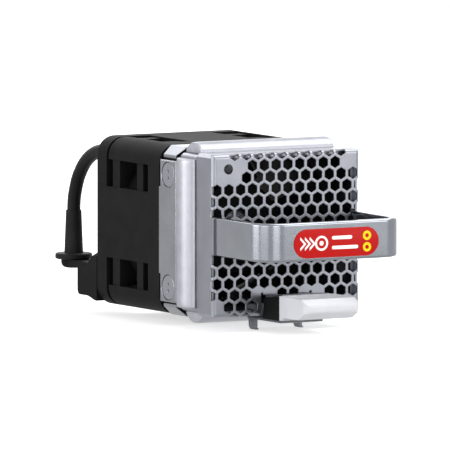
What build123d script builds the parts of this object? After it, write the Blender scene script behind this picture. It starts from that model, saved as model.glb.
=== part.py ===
# Hot-swap fan tray for a network switch: a 40 mm axial fan behind a honeycomb steel front,
# with a pull handle, a squeeze latch and a plug-in power lead. Millimetres, +Z up.
# The front (handle, latch, air outlet) faces -Y and the tray slides into its bay along +Y.
# The origin is on the ground plane under the latch hooks, at the middle of the tray's length.

import os
from math import cos, pi, radians, sin, sqrt, tan

from build123d import *

# Overall
body_size = 40.0
body_corner = 4.5
hook_drop = 2.45
handle_reach = 22.8
cut_past = 1.0

# Front cover: one bent sheet, open at the back
cover_width = body_size - 0.5
cover_height = body_size - 1.7
cover_depth = 7.9
cover_rise = 0.2
cover_sheet = 0.5
cover_bend = 1.0
corner_slit = 0.35
hole_flats = 2.5
hole_pitch = 3.18
hole_wrap = 1.2
hole_overhang = 0.6
hole_shift_x = 0.42
hole_shift_z = -0.25
row_pitch = hole_pitch * sqrt(3) / 2
slot_relief = 0.35
corner_land_x = cover_width / 2 - 3.75
corner_land_z = cover_height / 2 - 4.15

# Status light and the land round it
led_x = 4.2 - cover_width / 2
led_z = cover_height / 2 - 3.5
led_hole = 2.3
light_land_x = led_x + 4.3
light_land_height = 6.0
light_radius = 1.1
light_proud = 0.45
light_length = 6.0
light_round = 0.5
light_flange_radius = 1.4
light_flange_height = 0.8
holder_size = 5.6
holder_depth = 7.0
holder_chamfer = 0.8

# Inner tray: the sleeve that carries cover, gaskets and handle
tray_sheet = 0.8
tray_front = cover_sheet + 1.5
tray_corner = 1.5
tray_width = cover_width - 2 * cover_sheet
tray_height = cover_height - 2 * cover_sheet

# Shielding gaskets
gasket_height = 2.7
gasket_width = 7.8
gasket_side = 0.5
gasket_front = cover_depth + 0.7
side_gasket_length = tray_height - 2.3
flat_gasket_length = tray_width - 2.9
tray_rear = gasket_front + gasket_width

# Adapter frame between the tray and the fan
adapter_length = 6.4
adapter_front = tray_rear - 3.0
fan_front = tray_rear + adapter_length
spigot_wall = 1.4
spigot_corner = 8.0

# Collar: two side plates and two bands with 45 degree flanges that end in a straight lip
collar_front = tray_rear + 0.5
plate_reach = body_size / 2 + 0.2
plate_sheet = 0.8
plate_height = body_size - 6.6
plate_rear = collar_front + 7.7
plate_tongue = 0.7
tongue_height = plate_height - 12.8
plate_bevel = 0.2
band_reach = body_size / 2 - 0.05
band_front = tray_rear + 0.7
band_rear = band_front + 7.3
band_sheet = 0.5
collar_cut = 2.95
flange_foot = band_reach - 2.05
flange_slant = 1.4
lip_length = 0.7
lip_outer = plate_reach + band_reach - collar_cut - flange_foot
lip_clearance = 0.05

# Side screws, flat heads with two driver holes
side_screw_y = collar_front + 4.0
side_screw_z = body_size / 2 - 6.7
side_head_radius = 2.95
side_head_height = 0.45
side_head_recess = 0.1
side_head_bevel = 0.12
side_shank_radius = 1.2
side_shank_length = 4.0
pilot_over = 0.3
driver_hole_radius = 0.35
driver_hole_depth = 0.35
driver_hole_gap = 1.6
screw_clearance = 0.1

# Fan
fan_length = 28.0
frame_rear = fan_front + fan_length
spigot_rear = fan_front + 2.5
spigot_step = 0.9
fan_bore = body_size - 3.0
adapter_bore = fan_bore - 0.2
fan_hole_inset = 4.0
fan_hole_spacing = body_size - 2 * fan_hole_inset
fan_hole_radius = 2.15
venturi_wall = 0.8
cell_far = body_size / 2 - 5.1
cell_near = cell_far - 6.5
cell_depth = 4.8
cell_front = fan_front + 7.95
cell_rear = frame_rear
cell_length = cell_rear - cell_front
rib_recess = 0.35
first_rib = (cell_front + 0.147 * cell_length, cell_front + 0.291 * cell_length)
second_rib = (cell_front + 0.709 * cell_length, cell_front + 0.878 * cell_length)
corner_groove = 1.0
corner_groove_depth = 0.6
corner_groove_reach = body_corner + 1.5
strut_count = 5
strut_thickness = 1.3
strut_depth = 3.0
base_thickness = 1.4
base_set_back = 0.5
base_rim = 0.8

# Motor
tube_outer = 4.8
tube_inner = 4.0
tube_rear = fan_front + 13.8
stator_front = fan_front + 5.2
stator_length = 8.0
stator_radius = 8.5
pole_count = 6
pole_width = 1.8
core_ring = 1.2
shoe_thickness = 0.9
shoe_gap = 1.0
coil_width = 3.4
coil_round = 0.3
coil_end = 0.9
coil_gap = 0.1
coil_shoe_gap = 0.35
bearing_width = 3.0
front_bearing_y = fan_front + 2.4
rear_bearing_y = tube_rear - bearing_width - 0.4
bearing_bore = 1.5
race_thickness = 0.7
shield_recess = 0.25
shaft_clearance = 0.02
shaft_radius = bearing_bore - shaft_clearance
shaft_front = fan_front + 1.1
shaft_chamfer = 0.2
clip_y = shaft_front + 0.7
clip_thickness = 0.4
clip_radius = 2.4
clip_groove = 0.3
clip_mouth = 1.4

# Rotor
air_gap = 0.3
magnet_thickness = 0.8
magnet_inner = stator_radius + air_gap
yoke_thickness = 0.6
yoke_inner = magnet_inner + magnet_thickness
yoke_hole = 2.5
hub_wall = 0.8
hub_inner = yoke_inner + yoke_thickness
hub_radius = hub_inner + hub_wall
hub_front = fan_front + base_set_back + strut_depth + 0.5
hub_round = 3.0
yoke_front = hub_front + 0.2
yoke_rear = stator_front + stator_length + coil_end + 1.5 + yoke_thickness
magnet_front = yoke_front + 0.4
magnet_length = yoke_rear - yoke_thickness - 1.2 - magnet_front
shaft_seat = yoke_rear + 3.0
hub_rear = shaft_seat + 3.0
blade_count = 7
blade_tip_gap = 0.4
blade_root_sink = 1.2
blade_thickness = 0.9
blade_edge = 0.35
blade_middle = fan_front + 12.8
blade_root_chord = 14.5
blade_tip_chord = 16.0
blade_root_pitch = 58.0
blade_tip_pitch = 38.0
blade_camber = 1.9
base_radius = hub_radius - 0.2

# Motor board, with two small parts on it
board_thickness = 1.0
board_radius = base_radius - base_rim - 0.6
board_part_x = 7.0
board_part_width = 1.6
board_part_height = 3.0

# Rear cover
cover_back = frame_rear + 4.9
bore_round = 0.9
back_edge_round = 0.5
rear_head_radius = 2.7
rear_head_height = 2.0
rear_head_seat = 2.4
rear_shank_radius = 1.4
rear_screw_front = tray_rear + 1.2
pilot_depth_over = 0.4
hex_socket = 2.0
hex_socket_depth = 1.2

# Plug-in connector at the lower left of the rear face
plug_rear = cover_back + 9.4
plug_width = 12.0
plug_bottom = 1.7 - body_size / 2
plug_top = plug_bottom + 6.5
plug_foot = 0.8 - body_size / 2
plug_foot_rear = cover_back + 0.9
plug_foot_slope = cover_back + 4.2
plug_foot_bend = 6.0
plug_round = 1.2
gusset_top = plug_top + 4.0
gusset_flat = cover_back + 1.1
gusset_foot = cover_back + 6.0
gusset_width = 2.4
gusset_chamfer = 0.9
leg_length = 3.4
leg_width = 4.0
leg_thickness = 1.2
leg_from_edge = 0.9
leg_centre = body_size / 2 - 9.0
leg_clearance = 0.1
socket_x = (plug_width - body_size) / 2
socket_width = 9.6
socket_height = 3.6
socket_depth = 5.0
socket_z = plug_bottom + 2.7
contact_pitch = 2.0
contact_row_pitch = 1.6
contact_columns = 4
contact_size = 0.6
contact_length = 8.4
contact_set_back = 0.8

# Lead, strain relief and its cup
lead_x = 4.3 - body_size / 2
lead_z = body_size / 2 - 3.6
lead_diameter = 3.2
lead_clearance = 0.05
grommet_wall = 0.7
grommet_length = 2.0
boot_y = plug_rear + 9.55
boot_foot = plug_top + 2.4
boot_top = boot_foot + 10.2
boot_grip = 2.6
boot_top_radius = 1.85
boot_foot_radius = 2.25
flange_radius = 4.4
flange_height = 1.4
flange_round = 0.4
plug_in_radius = 1.95
plug_in_depth = 1.1
cup_radius = 3.0
cup_height = 2.1
cup_round = 1.3
tongue_width = 5.0
tongue_thickness = 1.6
tongue_front = plug_rear - 3.0

# Handle
handle_thickness = 1.8
handle_height = 9.1
handle_bend = 6.0
handle_edge = 0.6
handle_tail = cover_depth - 0.5
handle_slot_clearance = 0.15

# Latch: leaf spring, filler block and push button
latch_sheet = 0.5
latch_bend = 0.8
latch_width = 12.8
latch_cut_width = 13.6
latch_cut_top = cover_rise - cover_height / 2 + 4.95
latch_notch_width = 0.6
latch_notch_height = 0.5
latch_land_inside = 3.3
latch_land_outside = 2.2
latch_land_height = 1.7
latch_plate_z = -body_size / 2
latch_front = -9.4
latch_lip_front = latch_plate_z + 6.75
latch_lip_rear = latch_plate_z + 6.1
latch_lip_end = -1.45
latch_corner_width = 2.0
latch_corner_length = 3.4
latch_corner_height = 0.75
block_rear = -0.1
block_lean_foot = latch_plate_z + 1.8
block_roof_rear = -0.9
block_round = 0.35
jog_rear = gasket_front - 0.3
jog_front = jog_rear - 1.4
leaf_width = 11.0
leaf_gap = 0.3
leaf_shoulder = jog_rear + 0.6
leaf_bottom = cover_rise - tray_height / 2 + tray_sheet + leaf_gap
hinge_y = tray_rear + 3.4
hinge_gap = 0.1
leaf_root_rear = fan_front - 0.4
pad_front = hinge_y - 1.8
pad_overlap = 0.4
rivet_y = leaf_root_rear - 1.2
rivet_x = 4.0
rivet_head_radius = 1.3
rivet_head_height = 0.5
rivet_head_round = 0.3
rivet_shank_radius = 0.7
rivet_shank_length = 1.2
rivet_hole_over = 0.1
hook_x = latch_width / 2 - 0.4
hook_thickness = 0.75
hook_front = 3.8
hook_rear = hook_front + 3.0
hook_nose = 0.5
hook_nose_height = 0.35
hook_round = 1.3
button_width = 14.5
button_front = -21.9
button_rear = latch_front
button_top = latch_plate_z + 6.5
button_bottom = latch_plate_z + 1.5
button_flange_bottom = latch_plate_z + 0.75
button_flange = 1.05
button_flange_slope = 0.8
button_strip_top = latch_plate_z + 5.1
button_strip_bottom = latch_plate_z + 3.4
button_top_break = button_front + 2.3
button_bottom_break = button_front + 3.7
button_corner = 1.3
button_break_round = 0.8

# Seat of the collar on the adapter frame
seat_width = 2 * (plate_reach - plate_sheet)
seat_height = 2 * (band_reach - band_sheet)
seat_cut = (seat_width + seat_height) / 2 - (plate_reach + band_reach - collar_cut - band_sheet * sqrt(2))

# Row frame: the fan axis over the hook tips, and the middle between handle and cup at y = 0
axis_z = body_size / 2 + hook_drop
face_y = (handle_reach - boot_y - cup_radius) / 2

os.makedirs("parts", exist_ok=True)


def front_view(depth):
    """Plane seen from the front, at a depth behind the front face. Extrusions come forwards."""
    return Plane(origin=(0, face_y + depth, axis_z), x_dir=(1, 0, 0), z_dir=(0, -1, 0))


def side_view(x=0):
    """Plane whose first axis is the depth behind the front face and whose second is the height."""
    return Plane(origin=(x, face_y, axis_z), x_dir=(0, 1, 0), z_dir=(1, 0, 0))


def top_view(z=0):
    """Plane seen from above, whose second axis is the depth behind the front face."""
    return Plane(origin=(0, face_y, axis_z + z), x_dir=(1, 0, 0), z_dir=(0, 0, 1))


def save(part, name):
    part.label = name
    export_step(part, f"parts/{name}.step")
    return part


def corner_at(sketch, first, second):
    """The corner of a sketch that lies nearest to a point on the sketch's own plane."""
    return sketch.vertices().sort_by_distance((first, second, 0))[0]


def on_land(x, z):
    """True where the front sheet stays solid: around the light, the corners and the latch."""
    light_land = x < light_land_x and abs(z - led_z) < light_land_height / 2
    corner_land = abs(x) > corner_land_x and abs(z) > corner_land_z
    past_latch = abs(x) - latch_cut_width / 2
    latch_land = -latch_land_inside < past_latch < latch_land_outside and z < latch_cut_top + latch_land_height
    return light_land or corner_land or latch_land


def honeycomb():
    """Centres of the six-sided holes, in rows that shift by half a pitch."""
    centres = []
    rows = int(cover_height / 2 / row_pitch) + 1
    columns = int(cover_width / 2 / hole_pitch) + 2
    for row in range(-rows, rows + 1):
        z = hole_shift_z + row * row_pitch
        for column in range(-columns, columns + 1):
            x = hole_shift_x + (column + (row % 2) / 2) * hole_pitch
            inside = abs(x) < cover_width / 2 + hole_overhang and abs(z) < cover_height / 2 + hole_overhang
            if inside and not on_land(x, z):
                centres.append((x, z))
    return centres


def make_front_cover():
    leg_outer = tray_width / 2
    slot_inner = leg_outer - handle_thickness - handle_slot_clearance
    slot_height = handle_height + 2 * handle_slot_clearance
    with BuildPart() as front_cover:
        with BuildSketch(front_view(cover_depth)):
            with Locations((0, cover_rise)):
                Rectangle(cover_width, cover_height)
        extrude(amount=cover_depth)
        front = front_cover.faces().sort_by(Axis.Y)[0]
        fillet(front.edges(), radius=cover_bend)
        back = front_cover.faces().sort_by(Axis.Y)[-1]
        offset(amount=-cover_sheet, openings=back)
        # Open corners between the bent walls
        with BuildSketch(front_view(cover_depth)):
            with Locations((0, cover_rise)):
                with GridLocations(cover_width, cover_height, 2, 2):
                    Rectangle(2 * corner_slit + cover_sheet, 2 * corner_slit + cover_sheet, rotation=45)
        extrude(amount=cover_depth - cover_bend, mode=Mode.SUBTRACT)
        # Honeycomb, which runs on round the bends
        with BuildSketch(front_view(hole_wrap)):
            with Locations((0, cover_rise)):
                with Locations(honeycomb()):
                    RegularPolygon(hole_flats / 2, 6, major_radius=False, rotation=90)
        extrude(amount=hole_wrap + cut_past, mode=Mode.SUBTRACT)
        # Status light
        with BuildSketch(front_view(hole_wrap)):
            with Locations((led_x, led_z + cover_rise)):
                Circle(led_hole / 2)
        extrude(amount=hole_wrap + cut_past, mode=Mode.SUBTRACT)
        # Notch for the latch, through the face and the whole lower wall
        notch_foot = cover_rise - cover_height / 2 - cut_past
        with BuildSketch(front_view(cover_depth)):
            with Locations((0, (latch_cut_top + notch_foot) / 2)):
                Rectangle(latch_cut_width, latch_cut_top - notch_foot)
        extrude(amount=cover_depth - cover_sheet, mode=Mode.SUBTRACT)
        with BuildSketch(front_view(cover_sheet)):
            with Locations((0, (latch_cut_top + notch_foot) / 2)):
                Rectangle(latch_cut_width, latch_cut_top - notch_foot)
            with Locations((0, latch_cut_top + latch_notch_height / 2)):
                with GridLocations(latch_cut_width - latch_notch_width, 0, 2, 1):
                    Rectangle(latch_notch_width, latch_notch_height)
        extrude(amount=cover_sheet + cut_past, mode=Mode.SUBTRACT)
        # Slots where the handle passes, beside a straight strip of the side wall
        for side in (-1, 1):
            slot_outer = cover_width / 2 + cut_past
            with BuildSketch(front_view(hole_wrap)):
                with Locations((side * (slot_inner + slot_outer) / 2, cover_rise)):
                    Rectangle(slot_outer - slot_inner, slot_height + 2 * slot_relief)
            extrude(amount=hole_wrap + cut_past, mode=Mode.SUBTRACT)
            with BuildSketch(front_view(hole_wrap)):
                with Locations((side * (leg_outer + cover_sheet / 2), cover_rise)):
                    Rectangle(cover_sheet, slot_height - 2 * slot_relief)
            extrude(amount=hole_wrap)
    return save(front_cover.part, "front_cover")


def make_inner_tray():
    notch_depth = handle_tail + handle_slot_clearance - tray_front
    with BuildPart() as inner_tray:
        with BuildSketch(front_view(tray_rear)):
            with Locations((0, cover_rise)):
                RectangleRounded(tray_width, tray_height, tray_corner)
                RectangleRounded(
                    tray_width - 2 * tray_sheet,
                    tray_height - 2 * tray_sheet,
                    tray_corner - tray_sheet,
                    mode=Mode.SUBTRACT,
                )
        extrude(amount=tray_rear - tray_front)
        # Side notches that take the tails of the handle
        with BuildSketch(front_view(tray_front + notch_depth)):
            with Locations((0, cover_rise)):
                Rectangle(tray_width + 2 * cut_past, handle_height + 2 * handle_slot_clearance)
        extrude(amount=notch_depth + cut_past, mode=Mode.SUBTRACT)
        # Notch in the floor for the latch
        with BuildSketch(front_view(gasket_front)):
            with Locations((0, -tray_height / 2)):
                Rectangle(latch_cut_width, 2 * (tray_sheet + cut_past))
        extrude(amount=gasket_front - tray_front + cut_past, mode=Mode.SUBTRACT)
    return save(inner_tray.part, "inner_tray")


def gasket_profile():
    """D section, base on the first axis and crest along the second."""
    reach = gasket_width / 2
    with BuildSketch() as profile:
        with BuildLine():
            foot = Polyline((-reach, gasket_side), (-reach, 0), (reach, 0), (reach, gasket_side))
            ThreePointArc(foot @ 1, (0, gasket_height), foot @ 0)
        make_face()
    return profile.sketch


def make_gasket(name, seat, length):
    with BuildPart() as gasket:
        with BuildSketch(seat):
            add(gasket_profile())
        extrude(amount=length / 2, both=True)
    return save(gasket.part, name)


def make_gaskets():
    middle = face_y + gasket_front + gasket_width / 2
    centre_z = axis_z + cover_rise
    for name, side in (("gasket_left", -1), ("gasket_right", 1)):
        seat = Plane(
            origin=(side * tray_width / 2, middle, centre_z), x_dir=(0, -side, 0), z_dir=(0, 0, 1)
        )
        make_gasket(name, seat, side_gasket_length)
    for name, side in (("gasket_bottom", -1), ("gasket_top", 1)):
        seat = Plane(
            origin=(0, middle, centre_z + side * tray_height / 2), x_dir=(0, side, 0), z_dir=(1, 0, 0)
        )
        make_gasket(name, seat, flat_gasket_length)


def make_adapter_frame():
    spigot_width = tray_width - 2 * tray_sheet
    spigot_height = tray_height - 2 * tray_sheet
    lip_inner = lip_outer - band_sheet
    lip_foot = flange_foot - lip_length - lip_clearance
    with BuildPart() as adapter_frame:
        with BuildSketch(front_view(fan_front)) as outline:
            Rectangle(seat_width, seat_height)
            chamfer(outline.vertices(), length=seat_cut)
            # Steps for the lips of the bands
            with GridLocations(seat_width + 2 * lip_inner, seat_height + 2 * lip_foot, 2, 2):
                Rectangle(seat_width, seat_height, mode=Mode.SUBTRACT)
        extrude(amount=adapter_length)
        with BuildSketch(front_view(tray_rear)):
            with Locations((0, cover_rise)):
                RectangleRounded(spigot_width, spigot_height, tray_corner - tray_sheet)
                RectangleRounded(
                    spigot_width - 2 * spigot_wall,
                    spigot_height - 2 * spigot_wall,
                    spigot_corner,
                    mode=Mode.SUBTRACT,
                )
        extrude(amount=tray_rear - adapter_front)
        with BuildSketch(front_view(fan_front)):
            Circle(adapter_bore / 2)
        extrude(amount=adapter_length, mode=Mode.SUBTRACT)
        # Way for the latch leaf, and the pad that its root is riveted to
        with BuildSketch(front_view(tray_rear)):
            with Locations((0, -spigot_height / 2)):
                Rectangle(latch_cut_width, 4 * spigot_wall)
        extrude(amount=tray_rear - adapter_front, mode=Mode.SUBTRACT)
        pad_foot = -adapter_bore / 2 - pad_overlap
        with BuildSketch(front_view(fan_front)):
            with Locations((0, (leaf_bottom + pad_foot) / 2)):
                Rectangle(latch_cut_width, leaf_bottom - pad_foot)
        extrude(amount=fan_front - pad_front)
        with BuildSketch(top_view(leaf_bottom)):
            with Locations((0, rivet_y)):
                with GridLocations(2 * rivet_x, 0, 2, 1):
                    Circle(rivet_shank_radius)
        extrude(amount=-rivet_shank_length - rivet_hole_over, mode=Mode.SUBTRACT)
        # Pilot holes for the side screws and the long rear screws
        for side in (-1, 1):
            with BuildSketch(side_view(side * seat_width / 2)):
                with Locations((side_screw_y, side_screw_z), (side_screw_y, -side_screw_z)):
                    Circle(side_shank_radius)
            extrude(amount=-side * (side_shank_length + pilot_over), mode=Mode.SUBTRACT)
        with BuildSketch(front_view(fan_front)):
            with GridLocations(fan_hole_spacing, fan_hole_spacing, 2, 2):
                Circle(rear_shank_radius)
        extrude(amount=fan_front - rear_screw_front + pilot_depth_over, mode=Mode.SUBTRACT)
    return save(adapter_frame.part, "adapter_frame")


def make_side_plate(name, side):
    rear = plate_rear + plate_tongue
    with BuildPart() as plate:
        with BuildSketch(side_view(side * seat_width / 2)):
            with Locations(((collar_front + plate_rear) / 2, 0)):
                Rectangle(plate_rear - collar_front, plate_height)
            with Locations(((collar_front + rear) / 2, 0)):
                Rectangle(rear - collar_front, tongue_height)
        extrude(amount=side * plate_sheet)
        outer = plate.faces().sort_by(Axis.X)[0 if side < 0 else -1]
        chamfer(outer.edges(), length=plate_bevel)
        for z in (-side_screw_z, side_screw_z):
            with BuildSketch(side_view(side * plate_reach)):
                with Locations((side_screw_y, z)):
                    Circle(side_head_radius + screw_clearance)
            extrude(amount=-side * (side_head_height + side_head_recess), mode=Mode.SUBTRACT)
            with BuildSketch(side_view(side * plate_reach)):
                with Locations((side_screw_y, z)):
                    Circle(side_shank_radius + screw_clearance)
            extrude(amount=-side * plate_sheet, mode=Mode.SUBTRACT)
    return save(plate.part, name)


def make_band(name, side):
    edge = 2 * plate_reach
    with BuildPart() as band:
        with BuildSketch(front_view(band_rear)) as profile:
            Rectangle(edge, 2 * band_reach)
            chamfer(profile.vertices(), length=collar_cut)
            offset(amount=-band_sheet, mode=Mode.SUBTRACT)
            with Locations((0, -side * (edge - flange_foot))):
                Rectangle(2 * edge, 2 * edge, mode=Mode.SUBTRACT)
            with Locations((0, side * (flange_foot - lip_length / 2))):
                with GridLocations(2 * lip_outer - band_sheet, 0, 2, 1):
                    Rectangle(band_sheet, lip_length)
        extrude(amount=band_rear - band_front)
        # Slanted front edges of the flanges
        fold = side * (band_reach - band_sheet)
        lip_end = side * (flange_foot - lip_length - cut_past)
        with BuildSketch(side_view(-edge)):
            with BuildLine():
                Polyline(
                    (band_front - cut_past, fold),
                    (band_front, fold),
                    (band_front + flange_slant, side * flange_foot),
                    (band_front + flange_slant, lip_end),
                    (band_front - cut_past, lip_end),
                    close=True,
                )
            make_face()
        extrude(amount=2 * edge, mode=Mode.SUBTRACT)
    return save(band.part, name)


def make_side_screws():
    head_top = plate_reach - side_head_recess
    head_foot = head_top - side_head_height
    with BuildPart() as side_screws:
        for side in (-1, 1):
            for z in (-side_screw_z, side_screw_z):
                with BuildSketch(side_view(side * head_foot)):
                    with Locations((side_screw_y, z)):
                        Circle(side_head_radius)
                head = extrude(amount=side * side_head_height)
                rim = head.faces().sort_by(Axis.X)[0 if side < 0 else -1].edges()
                chamfer(rim, length=side_head_bevel)
                with BuildSketch(side_view(side * head_top)):
                    with Locations((side_screw_y, z)):
                        with GridLocations(0, driver_hole_gap, 1, 2):
                            Circle(driver_hole_radius)
                extrude(amount=-side * driver_hole_depth, mode=Mode.SUBTRACT)
                with BuildSketch(side_view(side * head_foot)):
                    with Locations((side_screw_y, z)):
                        Circle(side_shank_radius)
                shank_length = head_foot - seat_width / 2 + side_shank_length
                extrude(amount=-side * shank_length)
    return save(side_screws.part, "side_screws")


def make_cells():
    """The pockets that open on all four sides of the fan frame, three deep cells to each window."""
    cell_starts = (cell_front, first_rib[1], second_rib[1])
    cell_ends = (first_rib[0], second_rib[0], cell_rear)
    middle = (cell_near + cell_far) / 2
    window = cell_far - cell_near
    with BuildPart() as cells:
        for start, end in zip(cell_starts, cell_ends):
            with BuildSketch(front_view(end)):
                with PolarLocations((body_size - cell_depth) / 2, 4):
                    with Locations((0, -middle), (0, middle)):
                        Rectangle(cell_depth, window)
            extrude(amount=end - start)
        with BuildSketch(front_view(cell_rear)):
            with PolarLocations(body_size / 2, 4):
                with Locations((0, -middle), (0, middle)):
                    Rectangle(2 * rib_recess, window)
        extrude(amount=cell_length)
        with BuildSketch(front_view(cell_rear + cut_past)):
            Circle(fan_bore / 2 + venturi_wall)
        extrude(amount=cell_length + 2 * cut_past, mode=Mode.SUBTRACT)
    return cells.part


def make_fan_frame():
    inner = body_size - 2 * spigot_step
    with BuildPart() as fan_frame:
        with BuildSketch(front_view(frame_rear)):
            RectangleRounded(body_size, body_size, body_corner)
        extrude(amount=frame_rear - spigot_rear)
        with BuildSketch(front_view(spigot_rear)):
            RectangleRounded(inner, inner, body_corner - spigot_step)
        extrude(amount=spigot_rear - fan_front)
        with BuildSketch(front_view(frame_rear)):
            Circle(fan_bore / 2)
        extrude(amount=frame_rear - fan_front, mode=Mode.SUBTRACT)
        add(make_cells(), mode=Mode.SUBTRACT)
        # Shadow groove at the four rounded corners
        with BuildSketch(front_view(frame_rear)):
            with GridLocations(body_size, body_size, 2, 2):
                Rectangle(2 * corner_groove_reach, 2 * corner_groove_reach)
            shrunk = body_size - 2 * corner_groove_depth
            RectangleRounded(shrunk, shrunk, body_corner - corner_groove_depth, mode=Mode.SUBTRACT)
        extrude(amount=corner_groove, mode=Mode.SUBTRACT)
        with BuildSketch(front_view(frame_rear)):
            with GridLocations(fan_hole_spacing, fan_hole_spacing, 2, 2):
                Circle(fan_hole_radius)
        extrude(amount=frame_rear - fan_front, mode=Mode.SUBTRACT)
        # Struts, motor base and bearing tube
        strut_start = fan_front + base_set_back
        with BuildSketch(front_view(strut_start + strut_depth)):
            with PolarLocations((base_radius + fan_bore / 2) / 2, strut_count, start_angle=90):
                Rectangle(fan_bore / 2 - base_radius + base_rim, strut_thickness)
        extrude(amount=strut_depth)
        with BuildSketch(front_view(strut_start + base_thickness)):
            Circle(base_radius)
        extrude(amount=base_thickness)
        with BuildSketch(front_view(strut_start + strut_depth)):
            Circle(base_radius)
            Circle(base_radius - base_rim, mode=Mode.SUBTRACT)
        extrude(amount=strut_depth)
        with BuildSketch(front_view(tube_rear)):
            Circle(tube_outer)
        extrude(amount=tube_rear - strut_start)
        with BuildSketch(front_view(tube_rear)):
            Circle(tube_inner)
        extrude(amount=tube_rear - strut_start, mode=Mode.SUBTRACT)
    return save(fan_frame.part, "fan_frame")


def make_motor_board():
    front = fan_front + base_set_back + base_thickness
    with BuildPart() as motor_board:
        with BuildSketch(front_view(front + board_thickness)):
            Circle(board_radius)
            Circle(tube_outer, mode=Mode.SUBTRACT)
        extrude(amount=board_thickness)
        with BuildSketch(front_view(front + 2 * board_thickness)):
            with GridLocations(2 * board_part_x, 0, 2, 1):
                Rectangle(board_part_width, board_part_height)
        extrude(amount=board_thickness)
    return save(motor_board.part, "motor_board")


def make_stator_core():
    with BuildPart() as stator_core:
        with BuildSketch(front_view(stator_front + stator_length)):
            Circle(stator_radius)
            Circle(stator_radius - shoe_thickness, mode=Mode.SUBTRACT)
            with PolarLocations(stator_radius, pole_count, start_angle=180 / pole_count):
                Rectangle(4 * shoe_thickness, shoe_gap, mode=Mode.SUBTRACT)
            with PolarLocations((tube_outer + stator_radius) / 2, pole_count):
                Rectangle(stator_radius - tube_outer - shoe_thickness, pole_width)
            Circle(tube_outer + core_ring)
            Circle(tube_outer, mode=Mode.SUBTRACT)
        extrude(amount=stator_length)
    return save(stator_core.part, "stator_core")


def make_stator_coils():
    inner = tube_outer + core_ring + coil_gap
    outer = stator_radius - shoe_thickness - coil_shoe_gap
    middle = (inner + outer) / 2
    with BuildPart() as stator_coils:
        with BuildSketch(front_view(stator_front + stator_length + coil_end)):
            with PolarLocations(middle, pole_count):
                RectangleRounded(outer - inner, coil_width, coil_round)
        extrude(amount=stator_length + 2 * coil_end)
        with BuildSketch(front_view(stator_front + stator_length)):
            with PolarLocations(middle, pole_count):
                Rectangle(outer - inner + cut_past, pole_width)
        extrude(amount=stator_length, mode=Mode.SUBTRACT)
    return save(stator_coils.part, "stator_coils")


def make_bearing(name, front):
    with BuildPart() as bearing:
        with BuildSketch(front_view(front + bearing_width)):
            Circle(tube_inner)
            Circle(bearing_bore, mode=Mode.SUBTRACT)
        extrude(amount=bearing_width)
        for start in (front + shield_recess, front + bearing_width):
            with BuildSketch(front_view(start)):
                Circle(tube_inner - race_thickness)
                Circle(bearing_bore + race_thickness, mode=Mode.SUBTRACT)
            extrude(amount=shield_recess, mode=Mode.SUBTRACT)
    return save(bearing.part, name)


def make_shaft():
    with BuildPart() as shaft:
        with BuildSketch(front_view(shaft_seat)):
            Circle(shaft_radius)
        extrude(amount=shaft_seat - shaft_front)
        chamfer(shaft.edges().group_by(Axis.Y)[0], length=shaft_chamfer)
        with BuildSketch(front_view(clip_y + clip_thickness)):
            Circle(shaft_radius)
            Circle(shaft_radius - clip_groove, mode=Mode.SUBTRACT)
        extrude(amount=clip_thickness, mode=Mode.SUBTRACT)
    return save(shaft.part, "shaft")


def make_shaft_clip():
    with BuildPart() as shaft_clip:
        with BuildSketch(front_view(clip_y + clip_thickness)):
            Circle(clip_radius)
            Circle(shaft_radius - clip_groove, mode=Mode.SUBTRACT)
            with Locations((0, -clip_radius)):
                Rectangle(clip_mouth, 2 * clip_radius, mode=Mode.SUBTRACT)
        extrude(amount=clip_thickness)
    return save(shaft_clip.part, "shaft_clip")


def make_magnet_ring():
    with BuildPart() as magnet_ring:
        with BuildSketch(front_view(magnet_front + magnet_length)):
            Circle(yoke_inner)
            Circle(magnet_inner, mode=Mode.SUBTRACT)
        extrude(amount=magnet_length)
    return save(magnet_ring.part, "magnet_ring")


def make_rotor_yoke():
    with BuildPart() as rotor_yoke:
        with BuildSketch(front_view(yoke_rear)):
            Circle(hub_inner)
            Circle(yoke_hole, mode=Mode.SUBTRACT)
        extrude(amount=yoke_rear - yoke_front)
        with BuildSketch(front_view(yoke_rear - yoke_thickness)):
            Circle(yoke_inner)
        extrude(amount=yoke_rear - yoke_front, mode=Mode.SUBTRACT)
    return save(rotor_yoke.part, "rotor_yoke")


def blade_section(radius, chord, pitch):
    """Cambered blade section at a radius, pitched so that its hollow side drives air to the front."""
    lead = (0, -cos(radians(pitch)), -sin(radians(pitch)))
    plane = Plane(origin=(radius, 0, 0), x_dir=lead, z_dir=(1, 0, 0))
    half = chord / 2
    with BuildSketch(plane) as section:
        with BuildLine():
            back = ThreePointArc((-half, blade_edge), (0, blade_camber + blade_thickness), (half, blade_edge))
            belly = ThreePointArc((half, 0), (0, blade_camber), (-half, 0))
            Line(back @ 1, belly @ 0)
            Line(belly @ 1, back @ 0)
        make_face()
    return section.sketch


def make_blade():
    """One blade in the rotor's own frame: air axis along Z, blade along X."""
    tip_radius = fan_bore / 2 - blade_tip_gap
    with BuildPart() as blade:
        add(blade_section(hub_radius - blade_root_sink, blade_root_chord, blade_root_pitch))
        add(blade_section(tip_radius + cut_past, blade_tip_chord, blade_tip_pitch))
        loft()
        with BuildSketch():
            Circle(tip_radius)
        extrude(amount=blade_tip_chord, both=True, mode=Mode.INTERSECT)
    return blade.part


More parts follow.
